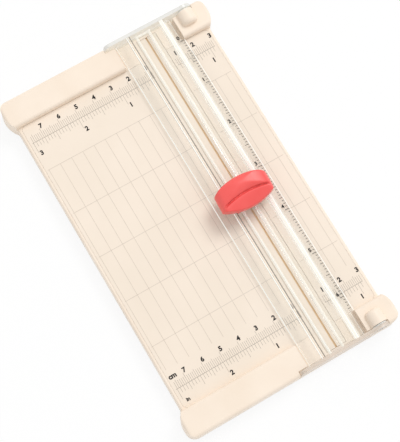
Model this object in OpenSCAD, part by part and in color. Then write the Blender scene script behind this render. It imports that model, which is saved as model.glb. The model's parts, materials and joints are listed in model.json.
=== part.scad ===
// Paper trimmer: a ruled deck between two end bars, a clear rail that hinges up,
// and a cutter that slides along the rail and is pressed down to cut.
// Millimetres. +X is to the right, +Y runs away from the user along the cut, +Z is up.
// The origin is on the table under the middle of the base.

/* [Base] */
// Width of the deck between its two sides
deck_w = 110.5; // [104:0.5:124]
// Length over both end bars
base_l = 190.4; // [170:0.2:230]
// Depth of each end bar along the cut
bar_d = 14.6; // [14:0.2:18]
// Height of the deck above the table
deck_z = 9; // [8.5:0.5:12]
// Rise of the end bars above the deck
bar_rise = 4; // [3:0.5:5]
// Bulge of the bar ends beyond the deck's sides
bar_over = 3.4; // [2:0.2:4.4]
// Height of the rubber feet below the base
foot_h = 1.2; // [0.8:0.1:1.6]

/* [Rail] */
// Distance from the cutting line to the deck's right side
cut_inset = 31; // [30:0.5:36]
// Width of the clear rail
rail_w = 33; // [32:0.5:34]
// Gap for paper between the deck and the rail
paper_gap = 1; // [0.6:0.1:1.4]
// Thickness of the rail's floor and wings
rail_t = 2; // [1.6:0.1:2.4]
// Height of the two walls of the track above its floor
track_h = 4.5; // [4:0.1:5]
// Distance from the cutting line to the rail's hinge
hinge_x = 22.9; // [22.5:0.1:25]
// Height of the hinge above the deck
hinge_h = 3.6; // [3.2:0.1:4]

/* [Cutter] */
// Position of the cutter along the rail, from the middle
cutter_y = -6; // [-60:0.5:60]
// Length of the cutter cap across the rail
cap_l = 28.4; // [28.4:0.2:30]
// Depth of the cutter cap along the rail, at its middle
cap_d = 16.2; // [16.2:0.2:19]
// Travel of the cutter cap when it is pressed
press = 2.4; // [1.6:0.1:2.4]

/* [Hidden] */
$fn = 48;
big_fn = 144;

// Fits: fixed pieces, sliding faces, faces beside a round one, a pin that turns, panels in the deck, and overlap
// of joined solids
fit = 0.15;
slide_gap = 0.3;
round_gap = 0.4;
run_fit = 0.05;
panel_fit = 0.06;
eps = 0.01;

// Cuts that run out of a piece: how far past its face, and how tall through its top
past = 1;
tall = 40;

// Base, with ribs under a plate; heights above the table
bar_z = deck_z + bar_rise;
y_end = base_l / 2;
y_bar = y_end - bar_d;
half_w = deck_w / 2 + bar_over;
x_cut = deck_w / 2 - cut_inset;
corner_r = 5;
bar_edge_r = 1.6;
deck_edge_r = 0.8;
wall = 2.2;
rib = 1.6;
rib_cols = 5;
rib_rows = 6;
cell_x = (deck_w - 2 * wall + rib) / rib_cols;
cell_y = (2 * y_bar - 2 * wall + rib) / rib_rows;
plate_t = 4.2;
bar_skin = 2.4;

// Bulging bar ends: a round lobe, and a fillet that touches the lobe and the deck's side
lobe_r = 13.5;
lobe_x = half_w - lobe_r;
lobe_y = y_bar + 8.2;
fillet_r = 3;
fillet_x = deck_w / 2 + fillet_r;
fillet_y = lobe_y - sqrt(pow(lobe_r + fillet_r, 2) - pow(fillet_x - lobe_x, 2));
touch = lobe_r / (lobe_r + fillet_r);
touch_x = lobe_x + touch * (fillet_x - lobe_x);
touch_y = lobe_y + touch * (fillet_y - lobe_y);

// Deck panels and the screws under them
panel_t = 1.5;
panel_rim = 1.5;
panel_r = 2.6;
boss_r = 2.2;
boss_h = 2.4;
screw_r = 0.9;
screw_head_r = 3.2;
screw_head_h = 1.2;
screw_tip_gap = 0.2;
cross_w = 0.6;
left_cols = [0, 2];
right_cols = [rib_cols - 1];

// Cutting mat
mat_w = 11;
mat_t = 2.5;
mat_end = 1;
groove_w = 1;
groove_d = 1.2;

// Feet
foot_r = 5;
foot_seat = 1;
foot_inset = 9;
foot_taper = 0.7;

// Hinge and the flanges at the rail's ends; heights from the deck
flange_t = 1.8;
flange_in = y_end - flange_t;
flange_l = 22.4;
flange_r = 17.5;
flange_drop = 5.5;
flange_rise = 7.7;
flange_corner = 3;
washer_t = 0.5;
washer_r = 3.6;
rebate_d = flange_t + washer_t + 2 * fit;
rebate_y = y_end - rebate_d;
recess_l = 17.6;
recess_r = 16.2;
hub_r = 4.4;
dome_r = 4.5;
dome_l = 7.6;
dome_edge = 2.2;
pin_r = 1.4;
pin_l = 6;
pin_head_r = 2.4;
pin_head_h = 0.9;
pin_sunk = 0.1;
x_hinge = x_cut + hinge_x;
z_hinge = deck_z + hinge_h;

// Rail section; heights above the deck
floor_z = paper_gap + rail_t;
track_top = floor_z + track_h;
track_out = 10.4;
track_in = 8.45;
wall_out = 9.6;
lip_h = 1.3;
slot_left = 4.1;
slot_right = 1.7;
bead_w = 1.3;
bead_h = 0.5;
bevel_w = 2.4;
bevel_h = 1;
notch_x = 14.2;
slot_y = flange_in - 1.2;

// Carriage; heights above the deck
car_x = track_in - slide_gap;
car_y = 6;
glide_x = 6.8;
glide_w = 2.2;
glide_t = 0.5;
car_z0 = floor_z + slide_gap + glide_t;
bridge_z0 = track_top + slide_gap;
bridge_t = 2.4;
bridge_z1 = bridge_z0 + bridge_t;

// Clips at the carriage's sides
clip_x0 = track_out + round_gap;
clip_t = 1;
clip_x1 = clip_x0 + clip_t;
clip_y = 4;
clip_z0 = floor_z + 0.9;
hook_in = 0.8;
hook_h = 1.5;
hook_z0 = track_top - lip_h - slide_gap - hook_h;
clip_screw_y = 2.4;
clip_screw_r = 0.6;
clip_screw_l = 3.4;
clip_head_r = 1.2;
clip_head_h = 0.7;
slot_w = 0.5;
slot_d = 0.3;

// Cutter cap; heights above the deck
cap_wall = 1.2;
cap_side_r = 30;
cap_end_r = 22;
cap_turn = -2.4;
cap_x = -1.3;
hollow_x = clip_x1 + slide_gap;
plate_z0 = bridge_z1 + slide_gap + press;
cap_plate_t = 1.2;
plate_z1 = plate_z0 + cap_plate_t;
cap_rim = track_top + slide_gap + press;
lug_h = 0.8;
holder_top = plate_z1 + lug_h;
crease_z = holder_top + 1.5;
bow_r = 42;
bow_turn = 2.8;
bow_y = 0.5;
crown_r = 33;
left_round = 6;
right_round = 6;
far_r = 5.6;
far_y = 3.4;
far_rise = 2.4;
near_r = 20;
near_y = 1.5;
groove_r = 0.5;
cap_top = crease_z + far_rise;
far_z = cap_top - far_r;
crease_y = far_y - sqrt(pow(far_r, 2) - pow(crease_z - far_z, 2));
near_z = crease_z - sqrt(pow(near_r, 2) - pow(crease_y - near_y, 2));
cap_screw_x = 9;
cap_screw_y = 2.6;
cap_screw_r = 0.7;
cap_screw_l = 2.4;
cap_head_r = 1.5;
cap_head_h = 0.9;

// Blade and the two halves of its holder; heights above the deck
blade_t = 0.5;
blade_fit = 0.02;
blade_tip = paper_gap + 0.6;
blade_y = 3;
blade_top = bridge_z1;
blade_pin_r = 0.6;
blade_pin_z = 7.5;
blade_pin_sunk = 0.05;
holder_x = 1.5;
holder_y = 4;
holder_lug = 4.6;
holder_z0 = floor_z - 0.4;
window_x = holder_x + 0.2;
window_y = holder_y + 0.2;

// Return springs
spring_x = 5.2;
spring_r = 1.6;
wire_r = 0.25;
spring_turns = 5.5;
spring_rings = 12;
spring_sides = 6;
well_r = 2.3;
well_z = car_z0 + 1.4;
spring_z0 = well_z + wire_r;
spring_z1 = plate_z0 - wire_r;

// Colours
cream = [0.97, 0.91, 0.84];
clear_plastic = [0.90, 0.95, 0.97, 0.35];
red = [0.93, 0.32, 0.31];
grey = [0.55, 0.56, 0.57];
steel = [0.78, 0.79, 0.80];
black_rubber = [0.12, 0.12, 0.13];
mat_colour = [0.93, 0.88, 0.79];
white_nylon = [0.93, 0.93, 0.91];

// Shared shapes

// 2-D block on the x axis with its two top corners rounded
module round_top(w, z0, z1, r) {
    translate([-w / 2, z0]) square([w, z1 - z0 - r]);
    translate([-w / 2 + r, z0]) square([w - 2 * r, z1 - z0]);
    for (s = [-1, 1]) translate([s * (w / 2 - r), z1 - r]) circle(r);
}

// 2-D rectangle about the origin with round corners
module round_rect(w, l, r) {
    square([w - 2 * r, l], center = true);
    square([w, l - 2 * r], center = true);
    for (sx = [-1, 1], sy = [-1, 1]) translate([sx * (w / 2 - r), sy * (l / 2 - r)]) circle(r);
}

// Block centred on the x and y axes, from z0 to z1
module block(w, l, z0, z1) {
    translate([-w / 2, -l / 2, z0]) cube([w, l, z1 - z0]);
}

// Sweeps a 2-D shape drawn in x and z along Y, from y0 to y1
module along_y(y0, y1) {
    translate([0, y1, 0]) rotate([90, 0, 0]) linear_extrude(y1 - y0) children();
}

// Sweeps a 2-D shape drawn in y and z along X, from x0 to x1
module along_x(x0, x1) {
    translate([x0, 0, 0]) rotate([90, 0, 90]) linear_extrude(x1 - x0) children();
}

// Cylinder along Y through the hinge line, from y0 to y1
module hinge_cylinder(r, y0, y1) {
    translate([x_hinge, y1, z_hinge]) rotate([90, 0, 0]) cylinder(r = r, h = y1 - y0);
}

// Draws the far end's shape at both ends of the base
module both_ends() {
    children();
    mirror([0, 1, 0]) children();
}

// Draws the right side's shape at both sides
module both_sides() {
    children();
    mirror([1, 0, 0]) children();
}

// Moves a shape to the cutting line, with heights above the deck
module on_cut() {
    translate([x_cut, 0, deck_z]) children();
}

// Moves a shape to the cutter, with heights above the deck
module at_cutter() {
    translate([x_cut, cutter_y, deck_z]) children();
}

// Base moulding

module deck_block() {
    along_y(-y_bar - past, y_bar + past) round_top(deck_w, foot_h, deck_z, deck_edge_r);
}

// Plan of the far end bar: a band with round outer corners, and bulging ends
module bar_plan() {
    intersection() {
        union() {
            translate([-half_w, y_bar]) square([2 * half_w, bar_d - corner_r]);
            translate([-half_w + corner_r, y_bar]) square([2 * (half_w - corner_r), bar_d]);
            both_sides() translate([half_w - corner_r, y_end - corner_r]) circle(corner_r);
        }
        union() {
            translate([-deck_w / 2, y_bar]) square([deck_w, bar_d]);
            both_sides() translate([lobe_x, lobe_y]) circle(lobe_r);
        }
    }
}

// Far end bar with its top edges rounded along both directions
module end_bar() {
    intersection() {
        translate([0, 0, foot_h]) linear_extrude(bar_z - foot_h) bar_plan();
        along_x(-half_w, half_w)
            translate([y_bar + bar_d / 2, 0]) round_top(bar_d, foot_h, bar_z, bar_edge_r);
        along_y(y_bar, y_end) round_top(2 * half_w, foot_h, bar_z, bar_edge_r);
    }
}

// Plan of the right shoulder, where the far bar's bulging end runs into the deck's side
module shoulder_plan() {
    x0 = deck_w / 2 - wall;
    intersection() {
        translate([lobe_x, lobe_y]) circle(lobe_r);
        translate([x0, touch_y]) square([half_w - x0, lobe_y - touch_y]);
    }
    difference() {
        translate([x0, fillet_y]) square([touch_x - x0, touch_y - fillet_y + eps]);
        translate([fillet_x, fillet_y]) circle(fillet_r);
    }
}

module shoulders() {
    translate([0, 0, foot_h]) linear_extrude(deck_z - deck_edge_r - foot_h) both_sides() shoulder_plan();
}

// Round boss over the far hinge pin, with a rounded inner end
module hinge_dome() {
    translate([x_hinge, rebate_y, z_hinge]) rotate([90, 0, 0]) rotate_extrude() {
        square([dome_r, dome_l - dome_edge]);
        square([dome_r - dome_edge, dome_l]);
        translate([dome_r - dome_edge, dome_l - dome_edge]) circle(dome_edge);
    }
}

// Cut in the far bar, down to the deck, where the rail passes over it
module rail_recess() {
    translate([x_cut - recess_l, y_bar - past, deck_z]) cube([recess_l + recess_r, bar_d + 2 * past, tall]);
}

// Step in the far bar's outer face that holds the rail's end flange and hub
module flange_rebate() {
    translate([x_cut - flange_l - round_gap, rebate_y, deck_z - flange_drop - slide_gap])
        cube([flange_l + flange_r + 2 * round_gap, rebate_d + past, tall]);
    translate([x_cut, rebate_y, z_hinge - hub_r - round_gap])
        cube([hinge_x, rebate_d + past, tall]);
    hinge_cylinder(hub_r + round_gap, rebate_y, y_end + past);
}

// Middles of the pockets under the deck
function pocket_x(i) = -deck_w / 2 + wall - rib / 2 + (i + 0.5) * cell_x;
function pocket_y(j) = -y_bar + wall - rib / 2 + (j + 0.5) * cell_y;

// Square pockets between the ribs under the deck
module deck_pockets() {
    for (i = [0 : rib_cols - 1], j = [0 : rib_rows - 1])
        translate([pocket_x(i), pocket_y(j), 0]) block(cell_x - rib, cell_y - rib, 0, deck_z - plate_t);
}

// Pocket under the long left part of the far bar
module bar_pocket() {
    x0 = -deck_w / 2 + 2 * foot_inset;
    x1 = x_cut - flange_l - wall;
    translate([x0, y_bar + wall, 0]) cube([x1 - x0, bar_d - rebate_d - 2 * wall, bar_z - bar_skin]);
}

module foot_places() {
    for (sx = [-1, 1], sy = [-1, 1])
        translate([sx * (deck_w / 2 - foot_inset), sy * (y_end - foot_inset), 0]) children();
}

// Screw places: middles of the first and last pockets of some columns
module screw_places(cols) {
    for (i = cols, j = [0, rib_rows - 1]) translate([pocket_x(i), pocket_y(j), 0]) children();
}

module all_screw_places() {
    screw_places(left_cols) children();
    screw_places(right_cols) children();
}

module base() {
    color(cream) difference() {
        union() {
            deck_block();
            both_ends() {
                end_bar();
                shoulders();
                hinge_dome();
            }
        }
        translate([0, 0, deck_z - panel_t]) linear_extrude(tall)
            round_rect(deck_w - 2 * panel_rim, 2 * y_bar, panel_r);
        translate([x_cut, 0, 0]) block(mat_w, 2 * (rebate_y - mat_end), deck_z - mat_t, tall);
        both_ends() {
            rail_recess();
            flange_rebate();
            hinge_cylinder(pin_r, rebate_y - pin_l, y_end);
            bar_pocket();
        }
        deck_pockets();
        foot_places() cylinder(r = foot_r, h = foot_h + foot_seat);
        all_screw_places() cylinder(r = boss_r + fit, h = deck_z);
    }
}

// Deck panels, mat and feet

// Plate of one panel between two x values, with its bosses for screws
module deck_panel(x0, x1, cols) {
    rim = panel_rim + panel_fit;
    color(cream) difference() {
        union() {
            translate([0, 0, deck_z - panel_t]) linear_extrude(panel_t) intersection() {
                round_rect(deck_w - 2 * rim, 2 * (y_bar - panel_fit), panel_r - panel_fit);
                translate([x0, -y_bar]) square([x1 - x0, 2 * y_bar]);
            }
            screw_places(cols) translate([0, 0, deck_z - panel_t - boss_h]) cylinder(r = boss_r, h = boss_h);
        }
        screw_places(cols) cylinder(r = screw_r, h = deck_z - panel_t);
    }
}

module deck_panel_left() {
    deck_panel(-deck_w / 2, x_cut - mat_w / 2, left_cols);
}

module deck_panel_right() {
    deck_panel(x_cut + mat_w / 2, deck_w / 2, right_cols);
}

// Screws from under the base into the panels' bosses, with crossed slots in their heads
module panel_screws() {
    seat_z = deck_z - plate_t;
    head_z = seat_z - screw_head_h;
    color(steel) all_screw_places() difference() {
        union() {
            translate([0, 0, head_z]) cylinder(r = screw_head_r, h = screw_head_h);
            translate([0, 0, head_z]) cylinder(r = screw_r, h = deck_z - panel_t - screw_tip_gap - head_z);
        }
        for (a = [0, 90]) translate([0, 0, head_z]) rotate(a)
            cube([screw_head_r, cross_w, screw_head_h], center = true);
    }
}

// Strip that the blade cuts against, with a fine groove down the cutting line
module cutting_mat() {
    length = 2 * (rebate_y - mat_end - fit);
    color(mat_colour) on_cut() difference() {
        block(mat_w - 2 * fit, length, -mat_t, 0);
        block(groove_w, length + 2 * past, -groove_d, past);
    }
}

module rubber_feet() {
    r = foot_r - fit;
    color(black_rubber) foot_places() {
        cylinder(r1 = r - foot_taper, r2 = r, h = foot_h / 2);
        translate([0, 0, foot_h / 2]) cylinder(r = r, h = foot_h / 2 + foot_seat);
    }
}

// Hinge

module hinge_pins() {
    head_y = y_end - pin_sunk;
    color(steel) both_ends() {
        hinge_cylinder(pin_head_r, head_y - pin_head_h, head_y);
        hinge_cylinder(pin_r, rebate_y - pin_l, head_y - eps);
    }
}

module hinge_washers() {
    y0 = rebate_y + fit;
    color(white_nylon) both_ends() difference() {
        hinge_cylinder(washer_r, y0, y0 + washer_t);
        hinge_cylinder(pin_r + run_fit, y0 - past, y0 + washer_t + past);
    }
}

// Clear rail

// Half of the rail's section: wing with a bevelled edge, track wall with a lip, and a bead by the slot's edge
module rail_half(slot_x) {
    wing = rail_w / 2;
    polygon([
        [0, paper_gap],
        [wing, paper_gap],
        [wing, floor_z - bevel_h],
        [wing - bevel_w, floor_z],
        [0, floor_z]
    ]);
    translate([track_in, floor_z - eps]) square([wall_out - track_in, track_h + eps]);
    translate([track_in, track_top - lip_h]) square([track_out - track_in, lip_h]);
    translate([slot_x, floor_z - eps]) square([bead_w, bead_h + eps]);
}

// Outline of an end flange in x and z, running from the lifting tab to the hinge hub
module flange_outline() {
    translate([(flange_r - flange_l) / 2, (flange_rise - flange_drop) / 2])
        round_rect(flange_l + flange_r, flange_rise + flange_drop, flange_corner);
    translate([0, hinge_h - hub_r]) square([hinge_x, flange_rise - hinge_h + hub_r]);
    translate([hinge_x, hinge_h]) circle(hub_r);
}

// Cut that narrows the right wing where it passes over the far bar
module wing_notch() {
    on_cut() translate([notch_x, y_bar - slide_gap, 0])
        cube([rail_w / 2, flange_in - y_bar + slide_gap, floor_z + eps]);
}

module rail_arm() {
    color(clear_plastic) difference() {
        on_cut() {
            along_y(-flange_in - eps, flange_in + eps) {
                rail_half(slot_right);
                mirror([1, 0]) rail_half(slot_left);
            }
            both_ends() along_y(flange_in, y_end) flange_outline();
        }
        on_cut() translate([-slot_left, -slot_y, 0]) cube([slot_left + slot_right, 2 * slot_y, tall]);
        both_ends() {
            wing_notch();
            hinge_cylinder(pin_r + run_fit, flange_in - past, y_end + past);
            hinge_cylinder(pin_head_r + round_gap, y_end - pin_head_h - 2 * pin_sunk, y_end + past);
        }
    }
}

// Cutter carriage

// Slider between the track walls, with a narrower neck and a bridge over the walls
module carriage() {
    color(red) at_cutter() difference() {
        union() {
            block(2 * car_x, 2 * car_y, car_z0, track_top);
            block(2 * car_x, 2 * clip_y, car_z0, bridge_z1);
            block(2 * clip_x0, 2 * clip_y, bridge_z0, bridge_z1);
        }
        block(2 * window_x, 2 * window_y, 0, tall);
        both_sides() translate([spring_x, 0, well_z]) cylinder(r = well_r, h = tall);
        clip_screw_places() cylinder(r = clip_screw_r, h = clip_t + clip_screw_l);
    }
}

// Screw axes that run inwards along X from the clips' outer faces
module clip_screw_places() {
    both_sides() for (y = [-clip_screw_y, clip_screw_y])
        translate([clip_x1, y, (bridge_z0 + bridge_z1) / 2]) rotate([0, -90, 0]) children();
}

// Side clips whose hooks run under the lips of the track
module rail_clips() {
    color(red) at_cutter() difference() {
        both_sides() {
            translate([clip_x0, -clip_y, clip_z0]) cube([clip_t, 2 * clip_y, bridge_z1 - clip_z0]);
            translate([clip_x0 - hook_in, -clip_y, hook_z0]) cube([hook_in + eps, 2 * clip_y, hook_h]);
        }
        clip_screw_places() {
            cylinder(r = clip_screw_r + fit, h = clip_t + past);
            translate([0, 0, -past]) cylinder(r = clip_head_r + fit, h = clip_head_h + past);
        }
    }
}

module clip_screws() {
    color(steel) at_cutter() clip_screw_places() difference() {
        union() {
            cylinder(r = clip_head_r, h = clip_head_h);
            cylinder(r = clip_screw_r, h = clip_head_h + clip_screw_l);
        }
        block(slot_w, tall, -past, slot_d);
    }
}

// Low-friction strips under the slider
module carriage_glides() {
    color(white_nylon) at_cutter() both_sides()
        translate([glide_x, 0, 0]) block(glide_w, 2 * car_y, car_z0 - glide_t, car_z0);
}

// Return springs: each is one round tube wound in a helix
function helix_point(t) = [
    spring_r * cos(360 * t * spring_turns),
    spring_r * sin(360 * t * spring_turns),
    spring_z0 + t * (spring_z1 - spring_z0)
];

function ring_point(t, a) = helix_point(t) + wire_r * [
    cos(a) * cos(360 * t * spring_turns),
    cos(a) * sin(360 * t * spring_turns),
    sin(a)
];

module coil() {
    rings = round(spring_turns * spring_rings);
    n = spring_sides;
    points = [for (i = [0 : rings], k = [0 : n - 1]) ring_point(i / rings, 360 * k / n)];
    sides = [for (i = [0 : rings - 1], k = [0 : n - 1])
        [i * n + k, i * n + (k + 1) % n, (i + 1) * n + (k + 1) % n, (i + 1) * n + k]];
    first = [for (k = [0 : n - 1]) n - 1 - k];
    last = [for (k = [0 : n - 1]) rings * n + k];
    polyhedron(points, concat([first], sides, [last]));
}

module press_springs() {
    pitch = (spring_z1 - spring_z0) / spring_turns;
    slope = atan(pitch / (2 * PI * spring_r));
    echo(least_spring_gap = pitch * cos(slope) - 2 * wire_r);
    color(steel) at_cutter() for (s = [-1, 1]) translate([s * spring_x, 0, 0]) coil();
}

// Cutter cap and blade

// Plan of the hollow, drawn in by an inset: two bowed sides, and straight ends beside the clips
module cap_inner_plan(inset) {
    intersection() {
        intersection_for (s = [-1, 1])
            translate([0, s * (cap_side_r - cap_d / 2)]) circle(cap_side_r - cap_wall - inset, $fn = big_fn);
        square([2 * (hollow_x - inset), cap_d], center = true);
    }
}

// The two bowed sides of the cap
module cap_sides() {
    intersection_for (s = [-1, 1])
        translate([0, s * (cap_side_r - cap_d / 2), 0]) cylinder(r = cap_side_r, h = tall, $fn = big_fn);
}

// Round right end of the cap
module cap_right_end() {
    x0 = -cap_l / 2 - past;
    x1 = cap_l / 2 - cap_end_r;
    translate([x0, -cap_d, 0]) cube([x1 - x0, 2 * cap_d, tall]);
    translate([x1, 0, 0]) cylinder(r = cap_end_r, h = tall, $fn = big_fn);
}

// Section of the cap: a high far ridge and a lower near pad with a crease between them
module cap_section() {
    difference() {
        union() {
            translate([far_y, far_z]) circle(far_r);
            translate([far_y, 0]) square([cap_d / 2, far_z]);
            translate([near_y, near_z]) circle(near_r, $fn = big_fn);
        }
        translate([crease_y, crease_z]) circle(groove_r);
    }
}

// The section swept round a far-off upright axis, so that the crease is bowed
module cap_sweep() {
    rotate(bow_turn) translate([0, bow_y - bow_r, 0]) rotate_extrude($fn = big_fn)
        translate([bow_r, 0]) cap_section();
}

// Height of the arch over the cap at a distance from its middle
function crown_z(x) = cap_top - crown_r + sqrt(pow(crown_r, 2) - pow(x, 2));

// Half of the cap's outline in x and z, out to an end that is rounded over into the arch
module crown_half(end_x, round_r) {
    top = crown_z(end_x - round_r);
    square([end_x, top - round_r]);
    square([end_x - round_r, tall]);
    translate([end_x - round_r, top - round_r]) circle(round_r);
}

// Arch over the cap from end to end
module cap_crown() {
    along_y(-cap_d, cap_d) intersection() {
        translate([0, cap_top - crown_r]) circle(crown_r, $fn = big_fn);
        union() {
            mirror([1, 0]) crown_half(cap_l / 2, left_round);
            crown_half(cap_l / 2, right_round);
        }
    }
}

// Cap, turned a little on the rail as the photo shows it, over a hollow that is square to the rail
module cutter_cap() {
    color(red) at_cutter() difference() {
        translate([cap_x, 0, 0]) rotate(cap_turn) intersection() {
            cap_sides();
            cap_right_end();
            cap_sweep();
            cap_crown();
        }
        block(2 * cap_l, 2 * cap_d, -past, cap_rim);
        linear_extrude(plate_z1) cap_inner_plan(0);
        block(2 * window_x, 2 * (holder_lug + fit), 0, holder_top + fit);
        cap_screw_places() cylinder(r = cap_screw_r, h = plate_z1 + cap_screw_l);
    }
}

module cap_screw_places() {
    both_sides() translate([cap_screw_x, cap_screw_y, 0]) children();
}

// Plate inside the cap that the springs push on and that clamps the blade holder
module cap_plate() {
    color(grey) at_cutter() difference() {
        translate([0, 0, plate_z0]) linear_extrude(cap_plate_t) cap_inner_plan(fit);
        block(2 * window_x, 2 * window_y, 0, tall);
        cap_screw_places() {
            cylinder(r = cap_screw_r + fit, h = tall);
            cylinder(r = cap_head_r + fit, h = plate_z0 + cap_head_h);
        }
    }
}

module cap_screws() {
    color(steel) at_cutter() cap_screw_places() translate([0, 0, plate_z0]) difference() {
        union() {
            cylinder(r = cap_head_r, h = cap_head_h);
            cylinder(r = cap_screw_r, h = cap_plate_t + cap_screw_l - screw_tip_gap);
        }
        block(tall, slot_w, -past, slot_d);
    }
}

module blade_pin_hole() {
    translate([-holder_x - past, 0, blade_pin_z]) rotate([0, 90, 0])
        cylinder(r = blade_pin_r, h = 2 * (holder_x + past));
}

// One half of the blade holder, on the side of +X, with a lug clamped under the cap
module holder_half() {
    x0 = blade_t / 2;
    w = holder_x - x0;
    difference() {
        union() {
            translate([x0, -holder_y, holder_z0]) cube([w, 2 * holder_y, holder_top - holder_z0]);
            translate([x0, -holder_lug, plate_z1]) cube([w, 2 * holder_lug, lug_h]);
        }
        blade_pin_hole();
    }
}

module blade_holder() {
    color(grey) at_cutter() mirror([1, 0, 0]) holder_half();
}

module blade_clamp() {
    color(grey) at_cutter() holder_half();
}

// Flat blade with a pointed lower end
module blade() {
    shoulder = blade_tip + blade_y;
    half_t = blade_t / 2 - blade_fit;
    color(steel) at_cutter() difference() {
        along_x(-half_t, half_t) polygon([
            [-blade_y, blade_top],
            [blade_y, blade_top],
            [blade_y, shoulder],
            [0, blade_tip],
            [-blade_y, shoulder]
        ]);
        blade_pin_hole();
    }
}

module blade_pin() {
    half_l = holder_x - blade_pin_sunk;
    color(steel) at_cutter() translate([-half_l, 0, blade_pin_z]) rotate([0, 90, 0])
        cylinder(r = blade_pin_r, h = 2 * half_l);
}

base();
deck_panel_left();
deck_panel_right();
panel_screws();
cutting_mat();
rubber_feet();
hinge_pins();
hinge_washers();
rail_arm();
carriage();
rail_clips();
clip_screws();
carriage_glides();
press_springs();
cutter_cap();
cap_plate();
cap_screws();
blade_holder();
blade_clamp();
blade();
blade_pin();
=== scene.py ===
import json
import math

import bmesh
import bpy
import numpy
from mathutils import Euler, Matrix, Vector


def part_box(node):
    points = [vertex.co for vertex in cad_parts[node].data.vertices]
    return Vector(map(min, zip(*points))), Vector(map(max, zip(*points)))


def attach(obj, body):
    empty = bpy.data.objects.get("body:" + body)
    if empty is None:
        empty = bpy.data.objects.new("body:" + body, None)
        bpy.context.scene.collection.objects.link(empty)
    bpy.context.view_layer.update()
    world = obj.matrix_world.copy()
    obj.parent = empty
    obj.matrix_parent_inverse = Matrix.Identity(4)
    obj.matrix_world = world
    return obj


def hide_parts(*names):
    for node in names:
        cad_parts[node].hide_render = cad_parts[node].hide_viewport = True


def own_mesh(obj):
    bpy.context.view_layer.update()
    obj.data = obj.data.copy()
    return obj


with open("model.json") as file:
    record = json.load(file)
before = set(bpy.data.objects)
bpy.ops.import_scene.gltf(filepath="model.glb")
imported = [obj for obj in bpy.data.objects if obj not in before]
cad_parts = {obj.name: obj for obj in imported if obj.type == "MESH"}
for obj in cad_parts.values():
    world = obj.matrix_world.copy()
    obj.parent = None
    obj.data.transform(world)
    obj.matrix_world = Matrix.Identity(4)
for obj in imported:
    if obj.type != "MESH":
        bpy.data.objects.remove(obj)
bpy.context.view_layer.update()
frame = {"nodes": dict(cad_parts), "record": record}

# Looks of a paper trimmer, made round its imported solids. Metres, in the part's own frame:
# +X to the right across the cut, +Y away from the user along the cut, +Z up, origin on the table.

MM = 0.001
CM = 10 * MM
INCH = 25.4 * MM

# Places taken from the solids
MAT_LOW, MAT_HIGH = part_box("cutting_mat")
PANEL_LEFT_LOW, PANEL_LEFT_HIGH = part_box("deck_panel_left")
PANEL_RIGHT_LOW, PANEL_RIGHT_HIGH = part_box("deck_panel_right")
DECK_Z = PANEL_LEFT_HIGH[2]
CUT_X = (MAT_LOW[0] + MAT_HIGH[0]) / 2

# The mat's groove: depths below the deck between which its colour changes
GROOVE_TOP = 0.1 * MM
GROOVE_DEEP = 1 * MM

# The rail's section: heights above the deck, distances from the cutting line, and the fall of its bevels
WING_TOP = 3 * MM
BEAD_TOP = 3.5 * MM
TRACK_TOP = 7.5 * MM
TRACK_IN = 8.45 * MM
BAND_END = 12.2 * MM
WING_FLAT = 14.1 * MM
BEVEL_FALL = 1 / 2.4

# Distances along the rail: to just short of its end flanges, and to where their painted light and shade
# start
FLANGE_IN = 93.3 * MM
FLANGE_START = 91.3 * MM

# The rail's edges: those longer than LONG_EDGE are rounded, and faces within EDGE_REACH belong to one
LONG_EDGE = 40 * MM
EDGE_REACH = 0.5 * MM
RAIL_ROUND = 0.4 * MM

# The rail's materials by number; all but the first carry painted light or shade
CLEAR, FROSTED_GLOW, PAINTED_DARK_EDGE, HAZY_PAINTED_SHADE, MILKY_PAINTED_LIGHT, CLOUDY_PAINTED_SHADE = range(6)

# Shares of a face's normal: level faces, beads and sides have more than these up or sideways,
# and the rim of a flange has less than RIM along the rail
LEVEL = 0.99
BEAD_UP = 0.3
SIDEWAYS = 0.9
RIM = 0.5

# Copies of solids: corners closer than WELD are one, bends under FLAT are flat, and over SHARP are edges.
# The rail is shaded with edges at slighter bends too, over RAIL_SHARP.
WELD = 0.002 * MM
FLAT = math.radians(0.5)
SHARP = math.radians(32)
RAIL_SHARP = math.radians(15)

# The cutter's shell: hollows that rise more than HOLLOW to their neighbours and face up are its crease
SHELL_VOXEL = 0.2 * MM
HOLLOW = 0.008 * MM
HOLLOW_UP = 0.2
CREASE_ROUNDS = 11
CREASE_DEEPER = 0.42
WEAR_ROUNDS = 20

# Noise: the values between which most of it lies, its detail, and the strength of relief made from it
NOISE_LOW = 0.3
NOISE_HIGH = 0.7
NOISE_DETAIL = 3.0
RELIEF = 0.5

# Print: height of the ink above its surface, flatness and weight of its characters, widths of its lines
INK = 0.03 * MM
INK_FLAT = 0.1
GLYPH_WEIGHT = 0.045
FINE_W = 0.16 * MM
LINE_W = 0.2 * MM
GRID_W = 0.22 * MM
RAIL_TICK_W = 0.24 * MM

# Rulers and grid on the deck. On the near ruler, the unit's mark takes the place of one inch number.
ZERO_Y = 80 * MM
RULER_Y = 70.4 * MM
RULER_MARGIN = 1.2 * MM
NUMERAL_MARGIN = 0.4 * MM
NUMERAL_OFF = 6.3 * MM
NUMERAL_IN = 1.3 * MM
NUMERAL_H = 2.6 * MM
UNIT_H = 1.9 * MM
UNIT_MARKS = (("cm", -50.8 * MM, -64.2 * MM), ("in", -49.8 * MM, -77.1 * MM))
MARKED_INCH = 3
GRID_STEP = INCH / 4
GRID_NEAR_Y = -60 * MM
GRID_LEFT = range(2, 13)
GRID_RIGHT = range(2, 5)
GRID_ACROSS = range(1, 6)

# Scale on the rail, which runs a few ticks past its last number
RAIL_INCHES = 6
RAIL_TICKS = 16 * RAIL_INCHES + 5
RAIL_TICK_X = 15.7 * MM
RAIL_NUMERAL_X = 13.3 * MM
RAIL_NUMERAL_OFF = 2.1 * MM
RAIL_NUMERAL_H = 2.1 * MM

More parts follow.
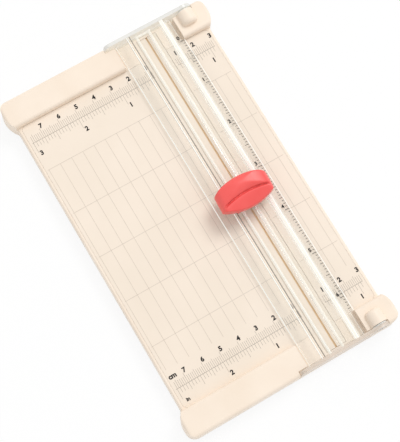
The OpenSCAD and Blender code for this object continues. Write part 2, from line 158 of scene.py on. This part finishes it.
# The photo's camera, solved on the rulers' numbers and the grid's inch lines: place, turn in degrees,
# lens and sensor in millimetres, and the nearest distance that it shows
EYE_PLACE = (-0.10882, -0.13808, 0.64694)
EYE_TURN = (14.8736, -2.2841, -30.5411)
EYE_LENS = 109.955
EYE_SENSOR = 36
EYE_NEAR = 0.01


# Materials


def linear(red, green, blue):
    """Scene colour for sRGB values of 0 to 255."""

    def channel(value):
        value /= 255
        return value / 12.92 if value <= 0.04045 else ((value + 0.055) / 1.055) ** 2.4

    return (channel(red), channel(green), channel(blue), 1.0)


class Finish:
    """A material round one Principled shader. Its patterns lie in the part's frame."""

    def __init__(self, name, **fixed):
        self.material = bpy.data.materials.new(name)
        self.material.use_nodes = True
        self.tree = self.material.node_tree
        self.shader = self.tree.nodes["Principled BSDF"]
        self.surface = self.tree.nodes["Material Output"].inputs["Surface"]
        self.place = self.tree.nodes.new("ShaderNodeTexCoord").outputs["Object"]
        for socket, value in fixed.items():
            self.shader.inputs[socket.replace("_", " ")].default_value = value

    def add(self, kind, values=None):
        """A new node with some of its inputs set."""
        node = self.tree.nodes.new(kind)
        for socket, value in (values or {}).items():
            node.inputs[socket].default_value = value
        return node

    def link(self, source, target):
        """Joins an output of one node to an input of another."""
        self.tree.links.new(source, target)

    def noise(self, scale, stretch=(1, 1, 1)):
        """Cloudy noise from 0 to 1, with blotches about 1 / scale metres across."""
        squeeze = self.add("ShaderNodeMapping", {"Scale": stretch})
        cloud = self.add("ShaderNodeTexNoise", {"Scale": scale, "Detail": NOISE_DETAIL})
        self.link(self.place, squeeze.inputs["Vector"])
        self.link(squeeze.outputs["Vector"], cloud.inputs["Vector"])
        return cloud.outputs["Fac"]

    def colour(self, dark, light, scale, **noise):
        """Base colour that drifts between two tones."""
        ramp = self.add("ShaderNodeValToRGB")
        stops = ramp.color_ramp.elements
        stops[0].position = NOISE_LOW
        stops[1].position = NOISE_HIGH
        stops[0].color = linear(*dark)
        stops[1].color = linear(*light)
        self.link(self.noise(scale, **noise), ramp.inputs["Fac"])
        self.link(ramp.outputs["Color"], self.shader.inputs["Base Color"])

    def gloss(self, low, high, scale, **noise):
        """Roughness that drifts between two values."""
        ends = {"From Min": NOISE_LOW, "From Max": NOISE_HIGH, "To Min": low, "To Max": high}
        span = self.add("ShaderNodeMapRange", ends)
        self.link(self.noise(scale, **noise), span.inputs["Value"])
        self.link(span.outputs["Result"], self.shader.inputs["Roughness"])

    def grain(self, scale, depth, **noise):
        """Fine relief, with a depth in metres."""
        bump = self.add("ShaderNodeBump", {"Strength": RELIEF, "Distance": depth})
        self.link(self.noise(scale, **noise), bump.inputs["Height"])
        self.link(bump.outputs["Normal"], self.shader.inputs["Normal"])

    def let_light_through(self, colour):
        """Lets lamps and scattered light pass straight through, tinted by a Transparent shader."""
        path = self.add("ShaderNodeLightPath")
        through = self.add("ShaderNodeMath")
        through.operation = "MAXIMUM"
        straight = self.add("ShaderNodeBsdfTransparent", {"Color": colour})
        choice = self.add("ShaderNodeMixShader")
        self.link(path.outputs["Is Shadow Ray"], through.inputs[0])
        self.link(path.outputs["Is Diffuse Ray"], through.inputs[1])
        self.link(through.outputs["Value"], choice.inputs["Fac"])
        self.link(self.shader.outputs["BSDF"], choice.inputs[1])
        self.link(straight.outputs["BSDF"], choice.inputs[2])
        self.link(choice.outputs["Shader"], self.surface)


def cream_plastic():
    """The base."""
    finish = Finish("cream_plastic", Specular_IOR_Level=0.4)
    finish.colour((246, 229, 210), (251, 236, 219), 45)
    finish.gloss(0.38, 0.5, 120)
    finish.grain(2600, 0.02 * MM)
    return finish.material


def deck_plastic():
    """The deck panels."""
    finish = Finish("deck_plastic", Specular_IOR_Level=0.35)
    finish.colour((243, 229, 212), (248, 234, 218), 30)
    finish.gloss(0.5, 0.62, 150)
    finish.grain(4200, 0.015 * MM)
    return finish.material


def mat_plastic():
    """The soft strip under the blade, with a warmer tone in its groove."""
    finish = Finish("mat_plastic", Specular_IOR_Level=0.3)
    finish.colour((244, 230, 212), (249, 237, 221), 60)
    finish.gloss(0.55, 0.68, 150)
    finish.grain(3000, 0.02 * MM)
    split = finish.add("ShaderNodeSeparateXYZ")
    ends = {"From Min": DECK_Z - GROOVE_DEEP, "From Max": DECK_Z - GROOVE_TOP}
    height = finish.add("ShaderNodeMapRange", ends)
    blend = finish.add("ShaderNodeMixRGB", {"Color1": linear(250, 230, 200)})
    colour = finish.shader.inputs["Base Color"]
    clean = colour.links[0].from_socket
    finish.link(finish.place, split.inputs["Vector"])
    finish.link(split.outputs["Z"], height.inputs["Value"])
    finish.link(height.outputs["Result"], blend.inputs["Fac"])
    finish.link(clean, blend.inputs["Color2"])
    finish.link(blend.outputs["Color"], colour)
    return finish.material


def clear_plastic():
    """The rail, apart from the edges, band, beads and flanges, which have painted light and shade of
    their own.
    """
    finish = Finish("clear_plastic", Transmission_Weight=1.0, IOR=1.38)
    finish.colour((252, 254, 253), (255, 255, 255), 20)
    finish.gloss(0.0, 0.03, 60, stretch=(1, 0.1, 1))
    finish.let_light_through((0.995, 0.995, 0.99, 1))
    return finish.material


def frosted_plastic():
    """The rail's long edges, frosted white with a painted glow that stands in for light running inside
    the rail; they cast a weak shadow.
    """
    # Painted glow: a faint emission standing in for light that the rail carries to its edges
    finish = Finish("frosted_plastic", Emission_Color=(1, 1, 0.97, 1), Emission_Strength=0.15)
    finish.colour((252, 250, 243), (255, 254, 249), 300)
    finish.gloss(0.25, 0.4, 400)
    finish.let_light_through((0.6, 0.6, 0.59, 1))
    return finish.material


def shaded_plastic():
    """Painted shade: a dark colour on the inner edge of the left lip, standing in for the dark inside of
    the track.
    """
    finish = Finish("shaded_plastic", Specular_IOR_Level=0.4)
    finish.colour((60, 52, 46), (80, 71, 64), 300)
    finish.gloss(0.3, 0.45, 400)
    finish.grain(3000, 0.01 * MM)
    return finish.material


def hazy_plastic():
    """The near end flange, painted a darker tan: painted shade of the bar behind it, where the far flange
    is painted lighter.
    """
    finish = Finish("hazy_plastic", Alpha=0.7)
    finish.colour((227, 213, 198), (237, 223, 209), 90)
    finish.gloss(0.2, 0.3, 120)
    finish.let_light_through((0.92, 0.91, 0.9, 1))
    return finish.material


def milky_plastic():
    """Painted light: the band beside the rail's scale and the beads by the slot, painted white as
    highlights, and the sides of the far end flange, painted lighter than the near one.
    """
    # Painted glow: a faint emission on these highlights
    glow = {"Emission_Color": (1, 1, 0.93, 1), "Emission_Strength": 0.04}
    finish = Finish("milky_plastic", Alpha=0.65, **glow)
    finish.colour((250, 247, 235), (254, 251, 241), 200)
    finish.gloss(0.3, 0.45, 300)
    finish.let_light_through((0.95, 0.95, 0.94, 1))
    return finish.material


def cloudy_plastic():
    """The rim of the far end flange, painted grey: painted shade that sets it off from the pale floor."""
    finish = Finish("cloudy_plastic", Alpha=0.85)
    finish.colour((226, 225, 220), (236, 235, 230), 90)
    finish.gloss(0.2, 0.3, 120)
    finish.let_light_through((0.92, 0.92, 0.91, 1))
    return finish.material


def red_plastic():
    """The cutter cap, the carriage and its clips."""
    finish = Finish("red_plastic", Specular_IOR_Level=0.45, Coat_Weight=0.25, Coat_Roughness=0.35)
    finish.colour((243, 84, 80), (249, 95, 90), 90)
    finish.gloss(0.3, 0.4, 200)
    finish.grain(3200, 0.012 * MM)
    return finish.material


def grey_plastic():
    """The cutter's inner plate, blade holder and blade clamp."""
    finish = Finish("grey_plastic")
    finish.colour((140, 142, 145), (152, 154, 157), 120)
    finish.gloss(0.4, 0.52, 300)
    finish.grain(3500, 0.015 * MM)
    return finish.material


def white_nylon():
    """The glides and the hinge washers."""
    finish = Finish("white_nylon", Subsurface_Weight=0.05)
    finish.colour((232, 232, 227), (242, 242, 238), 200)
    finish.gloss(0.35, 0.5, 400)
    finish.grain(3000, 0.012 * MM)
    return finish.material


def black_rubber():
    """The feet."""
    finish = Finish("black_rubber", Specular_IOR_Level=0.3)
    finish.colour((27, 27, 29), (40, 40, 42), 250)
    finish.gloss(0.7, 0.85, 500)
    finish.grain(2500, 0.04 * MM)
    return finish.material


def metal(name, dark, light, low, high, stretch):
    """Bare metal with fine brush lines."""
    finish = Finish(name, Metallic=1.0)
    finish.colour(dark, light, 1500, stretch=stretch)
    finish.gloss(low, high, 1200, stretch=stretch)
    finish.grain(2500, 0.008 * MM, stretch=stretch)
    return finish.material


def ink(name, dark, light):
    """Printed ink, a little patchy."""
    finish = Finish(name, Specular_IOR_Level=0.25)
    finish.colour(dark, light, 700)
    finish.gloss(0.45, 0.6, 900)
    finish.grain(6000, 0.004 * MM)
    return finish.material


def slot_finishes():
    """The material of each slot of the record."""
    return {
        "cream_plastic": cream_plastic(),
        "deck_plastic": deck_plastic(),
        "mat_plastic": mat_plastic(),
        "clear_plastic": clear_plastic(),
        "red_plastic": red_plastic(),
        "grey_plastic": grey_plastic(),
        "white_nylon": white_nylon(),
        "black_rubber": black_rubber(),
        "steel": metal("steel", (182, 184, 187), (206, 208, 211), 0.24, 0.4, (1, 1, 0.1)),
        "spring_steel": metal("spring_steel", (160, 162, 166), (190, 192, 196), 0.2, 0.34, (1, 1, 0.3)),
        "blade_steel": metal("blade_steel", (192, 194, 198), (216, 218, 222), 0.16, 0.3, (1, 0.05, 1)),
    }


# Pieces


def plain_mesh(bm, name):
    """The mesh of a bmesh, which is used up."""
    mesh = bpy.data.meshes.new(name)
    bm.to_mesh(mesh)
    bm.free()
    return mesh


def new_object(name, data):
    """An object in the scene, at the origin."""
    item = bpy.data.objects.new(name, data)
    bpy.context.scene.collection.objects.link(item)
    return item


def new_piece(name, mesh, materials, body):
    """A piece that rides on a body. Its faces choose among the materials by number."""
    for material in materials:
        mesh.materials.append(material)
    piece = new_object(name, mesh)
    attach(piece, body)
    return piece


def solid_copy(node):
    """A copy of a solid as a bmesh, with its split corners joined and its flat faces whole."""
    bm = bmesh.new()
    bm.from_mesh(frame["nodes"][node].data)
    bmesh.ops.remove_doubles(bm, verts=bm.verts, dist=WELD)
    bmesh.ops.dissolve_limit(bm, angle_limit=FLAT, verts=bm.verts, edges=bm.edges)
    return bm


def finished(bm, name, sharp=SHARP):
    """The mesh of a bmesh, with smooth shading broken at its sharp edges."""
    for face in bm.faces:
        face.smooth = True
    for edge in bm.edges:
        edge.smooth = len(edge.link_faces) == 2 and edge.calc_face_angle(0) < sharp
    return plain_mesh(bm, name)


def evaluated_mesh(piece):
    """The mesh of an object with its modifiers worked in."""
    bpy.context.view_layer.update()
    graph = bpy.context.evaluated_depsgraph_get()
    return bpy.data.meshes.new_from_object(piece.evaluated_get(graph))


def settle(piece):
    """Works an object's modifiers into its mesh."""
    mesh = evaluated_mesh(piece)
    piece.modifiers.clear()
    piece.data = mesh


def sharp_edges(bm):
    """The edges that bend enough to be rounded off."""
    return [e for e in bm.edges if len(e.link_faces) == 2 and e.calc_face_angle(0) > SHARP]


def round_off(bm, edges, width, clamped=True, number=-1):
    """Rounds off some edges, all alike unless clamped. The new faces take the material of that number."""
    bmesh.ops.bevel(
        bm, geom=edges, offset=width, offset_type="OFFSET", segments=2, profile=0.5, affect="EDGES",
        clamp_overlap=clamped, material=number
    )


def replacement(bm, node, materials, body, sharp=SHARP):
    """Puts a worked copy of a solid in the solid's place, with its large faces shaded flat."""
    name = node + "_soft"
    piece = new_piece(name, finished(bm, name, sharp), materials, body)
    flatten = piece.modifiers.new("flatten", "WEIGHTED_NORMAL")
    flatten.weight = 100
    flatten.keep_sharp = True
    settle(piece)
    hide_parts(node)


def soften(node, body, material, width):
    """Replaces a solid by a copy whose sharp edges are rounded off."""
    bm = solid_copy(node)
    round_off(bm, sharp_edges(bm), width)
    replacement(bm, node, [material], body)


def runs_along(edge):
    """Whether an edge is one of the rail's long outer edges."""
    start, end = edge.verts
    return edge.is_convex and abs(start.co.y - end.co.y) > LONG_EDGE


def rail_material(face):
    """Number of the material of a face of the rail, by its place and the way it faces, which decide where
    light and shade are painted.
    """
    middle = face.calc_center_median()
    x = middle.x - CUT_X
    z = middle.z - DECK_Z
    # The near flange gets painted shade; the far one painted light, with a rim of painted shade
    if middle.y < -FLANGE_START:
        return HAZY_PAINTED_SHADE
    if middle.y > FLANGE_START:
        rim = middle.y > FLANGE_IN and abs(face.normal.y) < RIM
        return CLOUDY_PAINTED_SHADE if rim else MILKY_PAINTED_LIGHT
    rounded = face.material_index == FROSTED_GLOW
    # A painted dark line on the left lip's inner edge
    if rounded and abs(x + TRACK_IN) < EDGE_REACH and abs(z - TRACK_TOP) < EDGE_REACH:
        return PAINTED_DARK_EDGE
    # Painted highlights on the band by the scale and on the beads
    band = face.normal.z > LEVEL and TRACK_IN < x < BAND_END and z > WING_TOP - EDGE_REACH
    bead = face.normal.z > BEAD_UP and abs(x) < TRACK_IN and abs(z - BEAD_TOP) < EDGE_REACH / 2
    if band or bead:
        return MILKY_PAINTED_LIGHT
    # Rounded edges and the wings' sides get the painted glow
    side = abs(face.normal.x) > SIDEWAYS and abs(x) > WING_FLAT
    return FROSTED_GLOW if rounded or side else CLEAR


def clear_rail(clear):
    """Replaces the rail by a copy with frosted edges that carry a painted glow, a painted highlight on
    the band by its scale, and painted light and shade on its end flanges.
    """
    bm = solid_copy("rail_arm")
    edges = [e for e in sharp_edges(bm) if runs_along(e)]
    round_off(bm, edges, RAIL_ROUND, clamped=False, number=FROSTED_GLOW)
    everything = bm.verts[:] + bm.edges[:] + bm.faces[:]
    band_end = (CUT_X + BAND_END, 0, 0)
    bmesh.ops.bisect_plane(bm, geom=everything, plane_co=band_end, plane_no=(1, 0, 0))
    bm.normal_update()
    for face in bm.faces:
        face.material_index = rail_material(face)
    # In the order of their numbers
    materials = [
        clear, frosted_plastic(), shaded_plastic(), hazy_plastic(), milky_plastic(), cloudy_plastic()
    ]
    replacement(bm, "rail_arm", materials, "arm", RAIL_SHARP)


def shave(mesh, rounds, deeper=0.0):
    """Wears down what stands out from a mesh, and deepens the hollows that face up."""
    places = numpy.empty(len(mesh.vertices) * 3)
    ends = numpy.empty(len(mesh.edges) * 2, dtype=int)
    mesh.edges.foreach_get("vertices", ends)
    first, second = ends.reshape(-1, 2).T
    counts = numpy.bincount(ends, minlength=len(mesh.vertices))[:, None]
    for _ in range(rounds):
        normals = numpy.empty_like(places)
        mesh.vertices.foreach_get("co", places)
        mesh.vertex_normals.foreach_get("vector", normals)
        facing = normals.reshape(-1, 3)
        spots = places.reshape(-1, 3)
        sums = numpy.zeros_like(spots)
        numpy.add.at(sums, first, spots[second])
        numpy.add.at(sums, second, spots[first])
        steps = sums / counts - spots
        rise = (steps * facing).sum(axis=1)
        proud = rise < 0
        hollow = (rise > HOLLOW) & (facing[:, 2] > HOLLOW_UP)
        spots[proud] += steps[proud] / 2
        spots[hollow] -= steps[hollow] * deeper
        mesh.vertices.foreach_set("co", places)
        mesh.update()


def cutter_shell(material):
    """Replaces the cutter cap by a copy with melted edges and a sharp crease."""
    mesh = finished(solid_copy("cutter_cap"), "cutter_shell")
    shell = new_piece("cutter_shell", mesh, [material], "cutter_head")
    remesh = shell.modifiers.new("remesh", "REMESH")
    remesh.mode = "VOXEL"
    remesh.voxel_size = SHELL_VOXEL
    melt = shell.modifiers.new("melt", "SMOOTH")
    melt.factor = 0.5
    melt.iterations = 1
    settle(shell)
    shave(shell.data, CREASE_ROUNDS, CREASE_DEEPER)
    shave(shell.data, WEAR_ROUNDS)
    for polygon in shell.data.polygons:
        polygon.use_smooth = True
    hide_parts("cutter_cap")


def press_springs(material):
    """Replaces the return springs by a copy with a mesh of its own."""
    mesh = finished(solid_copy("press_springs"), "press_springs_soft")
    springs = new_piece("press_springs_soft", mesh, [material], "carriage")
    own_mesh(springs)
    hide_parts("press_springs")


def paint_nodes(finishes):
    """Gives every solid its material, by the slots of the record."""
    for row in frame["record"]["subparts"]:
        node = frame["nodes"][row["node"]]
        node.data.materials.clear()
        node.data.materials.append(finishes[row["material_slot"]])


# Print


def rectangle(bm, x0, x1, y0, y1, z):
    """Adds a flat rectangle that faces up."""
    corners = [(x0, y0), (x1, y0), (x1, y1), (x0, y1)]
    bm.faces.new([bm.verts.new((x, y, z)) for x, y in corners])


def tick(bm, x, y0, y1, z, width=FINE_W):
    """Adds a line along Y, a little below the lines along X that it may cross."""
    rectangle(bm, x - width / 2, x + width / 2, min(y0, y1), max(y0, y1), z - INK / 4)


def cross_line(bm, x0, x1, y, z, width):
    """Adds a line along X."""
    rectangle(bm, x0, x1, y - width / 2, y + width / 2, z)


def glyph(bm, text, x, y, z, height):
    """Adds bold characters, centred on a point, with their tops away from the user."""
    curve = bpy.data.curves.new("glyph", "FONT")
    curve.body = text
    curve.bevel_depth = GLYPH_WEIGHT
    curve.bevel_resolution = 0
    holder = new_object("glyph", curve)
    mesh = evaluated_mesh(holder)
    corners = [v.co for v in mesh.vertices]
    low = Vector((min(c.x for c in corners), min(c.y for c in corners), 0))
    high = Vector((max(c.x for c in corners), max(c.y for c in corners), 0))
    size = height / (high.y - low.y)
    centred = Matrix.Diagonal((size, size, size * INK_FLAT, 1)) @ Matrix.Translation(-(low + high) / 2)
    mesh.transform(Matrix.Translation((x, y, z)) @ centred)
    bm.from_mesh(mesh)
    bpy.data.objects.remove(holder)
    bpy.data.curves.remove(curve)
    bpy.data.meshes.remove(mesh)


def print_piece(bm, name, material, body):
    """A piece of print, which rides on a body and has no slot."""
    new_piece(name, plain_mesh(bm, name), [material], body)


def panel_spans(margin=RULER_MARGIN):
    """The stretches of x that carry print: the left and the right panel."""
    return [
        (PANEL_LEFT_LOW[0] + margin, PANEL_LEFT_HIGH[0] - margin),
        (PANEL_RIGHT_LOW[0] + margin, PANEL_RIGHT_HIGH[0] - margin),
    ]


def on_panels(x, margin=RULER_MARGIN):
    """Whether print at x lies on a panel."""
    return any(x0 <= x <= x1 for x0, x1 in panel_spans(margin))


def marks(step):
    """Numbers of the marks that fit, a step apart, from the cutting line to the deck's farther side."""
    return range(1, int((CUT_X - PANEL_LEFT_LOW[0]) / step) + 1)


def centimetre_tick(n):
    """Length of the tick at n millimetres."""
    return (5.2 if n % 10 == 0 else 4.4 if n % 5 == 0 else 3.6) * MM


def inch_tick(n):
    """Length of the tick at n sixteenths of an inch."""
    return (5.6 if n % 16 == 0 else 4.6 if n % 8 == 0 else 3.6 if n % 4 == 0 else 2.7) * MM


def rail_tick(n):
    """Length of the rail's tick at n sixteenths of an inch."""
    return (2.2 if n % 8 == 0 else 1.7 if n % 4 == 0 else 1.2) * MM


def deck_rulers(material):
    """A ruler near each bar: centimetres on the far side of its line, inches on the near side."""
    z = DECK_Z + INK
    bm = bmesh.new()
    for line in (-RULER_Y, RULER_Y):
        for x0, x1 in panel_spans():
            cross_line(bm, x0, x1, line, z, LINE_W)
        for side in (-1, 1):
            for n in marks(MM):
                x = CUT_X + side * n * MM
                if on_panels(x):
                    tick(bm, x, line, line + centimetre_tick(n), z)
            for n in marks(INCH / 16):
                x = CUT_X + side * n * INCH / 16
                if on_panels(x):
                    tick(bm, x, line, line - inch_tick(n), z)
    print_piece(bm, "deck_rulers", material, "base")


def deck_numerals(material):
    """Numbers of the rulers, and the marks of the units near the left corner."""
    z = DECK_Z + INK
    bm = bmesh.new()
    for line in (-RULER_Y, RULER_Y):
        for side in (-1, 1):
            for n in marks(CM):
                x = CUT_X + side * (n * CM - NUMERAL_IN)
                if on_panels(x, NUMERAL_MARGIN):
                    glyph(bm, str(n), x, line + NUMERAL_OFF, z, NUMERAL_H)
            for n in marks(INCH):
                x = CUT_X + side * (n * INCH - NUMERAL_IN)
                marked = n == MARKED_INCH and line < 0
                if on_panels(x, NUMERAL_MARGIN) and not marked:
                    glyph(bm, str(n), x, line - NUMERAL_OFF, z, NUMERAL_H)
    for unit, x, y in UNIT_MARKS:
        glyph(bm, unit, x, y, z, UNIT_H)
    print_piece(bm, "deck_numerals", material, "base")


def deck_grid(material):
    """Quarter-inch lines along the cut, and inch lines across it."""
    z = DECK_Z + INK
    far_y = ZERO_Y - INCH
    bm = bmesh.new()
    for side, numbers in ((-1, GRID_LEFT), (1, GRID_RIGHT)):
        for n in numbers:
            tick(bm, CUT_X + side * n * GRID_STEP, GRID_NEAR_Y, far_y, z, GRID_W)
    for n in GRID_ACROSS:
        for x0, x1 in panel_spans():
            cross_line(bm, x0, x1, ZERO_Y - n * INCH, z, GRID_W)
    print_piece(bm, "deck_grid", material, "base")


def wing_tick(bm, x0, x1, y):
    """Adds a line along X that lies on the right wing of the rail and bends with its bevel."""
    stops = [x for x in (x0, WING_FLAT, x1) if x0 <= x <= x1]
    rows = []
    for x in stops:
        z = DECK_Z + WING_TOP - max(x - WING_FLAT, 0) * BEVEL_FALL + INK
        rows.append([bm.verts.new((CUT_X + x, y + side * RAIL_TICK_W / 2, z)) for side in (-1, 1)])
    for (a, b), (c, d) in zip(rows, rows[1:]):
        bm.faces.new((a, c, d, b))


def rail_scale(material):
    """Inch scale printed on the rail's right wing, with its numbers beside the ticks."""
    z = DECK_Z + WING_TOP + INK
    bm = bmesh.new()
    for n in range(RAIL_TICKS):
        wing_tick(bm, RAIL_TICK_X - rail_tick(n), RAIL_TICK_X, ZERO_Y - n * INCH / 16)
    for n in range(RAIL_INCHES + 1):
        y = ZERO_Y - n * INCH + RAIL_NUMERAL_OFF
        glyph(bm, str(n), CUT_X + RAIL_NUMERAL_X, y, z, RAIL_NUMERAL_H)
    print_piece(bm, "rail_scale", material, "arm")


# Stage


def seen_first(tree):
    """A socket that is 1 for what is seen, in mirrors or glass too, and 0 for scattered light."""
    path = tree.nodes.new("ShaderNodeLightPath")
    seen = path.outputs["Is Camera Ray"]
    for name in ("Is Glossy Ray", "Is Transmission Ray"):
        either = tree.nodes.new("ShaderNodeMath")
        either.operation = "MAXIMUM"
        tree.links.new(seen, either.inputs[0])
        tree.links.new(path.outputs[name], either.inputs[1])
        seen = either.outputs["Value"]
    # Light that was scattered before has a depth of 1 or more
    first = tree.nodes.new("ShaderNodeMath")
    first.operation = "LESS_THAN"
    first.inputs[1].default_value = 0.5
    both = tree.nodes.new("ShaderNodeMath")
    both.operation = "MULTIPLY"
    tree.links.new(path.outputs["Diffuse Depth"], first.inputs[0])
    tree.links.new(seen, both.inputs[0])
    tree.links.new(first.outputs["Value"], both.inputs[1])
    return both.outputs["Value"]


def soft_world(light):
    """A white backdrop that lights the scene more weakly than it is seen."""
    world = bpy.data.worlds.new("studio")
    world.use_nodes = True
    bpy.context.scene.world = world
    tree = world.node_tree
    backdrop = tree.nodes["Background"]
    backdrop.inputs["Color"].default_value = (1, 1, 1, 1)
    span = tree.nodes.new("ShaderNodeMapRange")
    span.inputs["To Min"].default_value = light
    tree.links.new(seen_first(tree), span.inputs["Value"])
    tree.links.new(span.outputs["Result"], backdrop.inputs["Strength"])


def soft_lamp(name, direction, distance, size, level):
    """A square lamp whose light on a level surface below it has the given brightness."""
    toward = Vector(direction).normalized()
    light = bpy.data.lights.new(name, "AREA")
    light.size = size
    light.energy = level * (math.pi * distance) ** 2 / toward.z
    lamp = new_object(name, light)
    lamp.location = toward * distance
    lamp.rotation_euler = toward.to_track_quat("Z", "Y").to_euler()
    # Seen through the clear rail, the lamp would make stray glints
    lamp.visible_transmission = False


def pale_floor(half, glow):
    """A floor that is seen partly as plain white, so that the shadow on it is faint."""
    finish = Finish("pale_floor", Specular_IOR_Level=0.1)
    finish.colour((250, 250, 250), (253, 253, 253), 3)
    finish.gloss(0.8, 0.9, 5)
    white = finish.add("ShaderNodeEmission", {"Color": (1, 1, 1, 1)})
    share = finish.add("ShaderNodeMapRange", {"To Max": glow})
    blend = finish.add("ShaderNodeMixShader")
    finish.link(seen_first(finish.tree), share.inputs["Value"])
    finish.link(share.outputs["Result"], blend.inputs["Fac"])
    finish.link(finish.shader.outputs["BSDF"], blend.inputs[1])
    finish.link(white.outputs["Emission"], blend.inputs[2])
    finish.link(blend.outputs["Shader"], finish.surface)
    bm = bmesh.new()
    rectangle(bm, -half, half, -half, half, 0)
    mesh = plain_mesh(bm, "floor")
    mesh.materials.append(finish.material)
    floor = new_object("floor", mesh)


def camera():
    """The photo's view."""
    data = bpy.data.cameras.new("camera")
    data.sensor_width = EYE_SENSOR
    data.lens = EYE_LENS
    data.clip_start = EYE_NEAR
    eye = new_object("camera", data)
    eye.location = EYE_PLACE
    eye.rotation_euler = Euler([math.radians(a) for a in EYE_TURN])
    bpy.context.scene.camera = eye


def main():
    """The stage, then the pieces with their finishes, then the print."""
    bpy.context.scene.view_settings.view_transform = "Standard"
    camera()
    soft_world(light=0.74)
    soft_lamp("key", direction=(0.6, 0.3, 0.95), distance=3, size=1.2, level=0.3)
    pale_floor(half=3, glow=0.87)

    finishes = slot_finishes()
    paint_nodes(finishes)
    soften("base", "base", finishes["cream_plastic"], width=0.35 * MM)
    for panel in ("deck_panel_left", "deck_panel_right"):
        soften(panel, "base", finishes["deck_plastic"], width=0.08 * MM)
    clear_rail(finishes["clear_plastic"])
    for piece in ("carriage", "rail_clips"):
        soften(piece, "carriage", finishes["red_plastic"], width=0.2 * MM)
    soften("rubber_feet", "base", finishes["black_rubber"], width=0.25 * MM)
    cutter_shell(finishes["red_plastic"])
    press_springs(finishes["spring_steel"])

    black = ink("black_ink", (24, 22, 22), (40, 37, 36))
    pale = ink("pale_ink", (168, 158, 146), (182, 172, 159))
    grey = ink("grey_ink", (212, 199, 184), (222, 209, 194))
    deck_rulers(pale)
    deck_numerals(black)
    deck_grid(grey)
    rail_scale(black)


main()
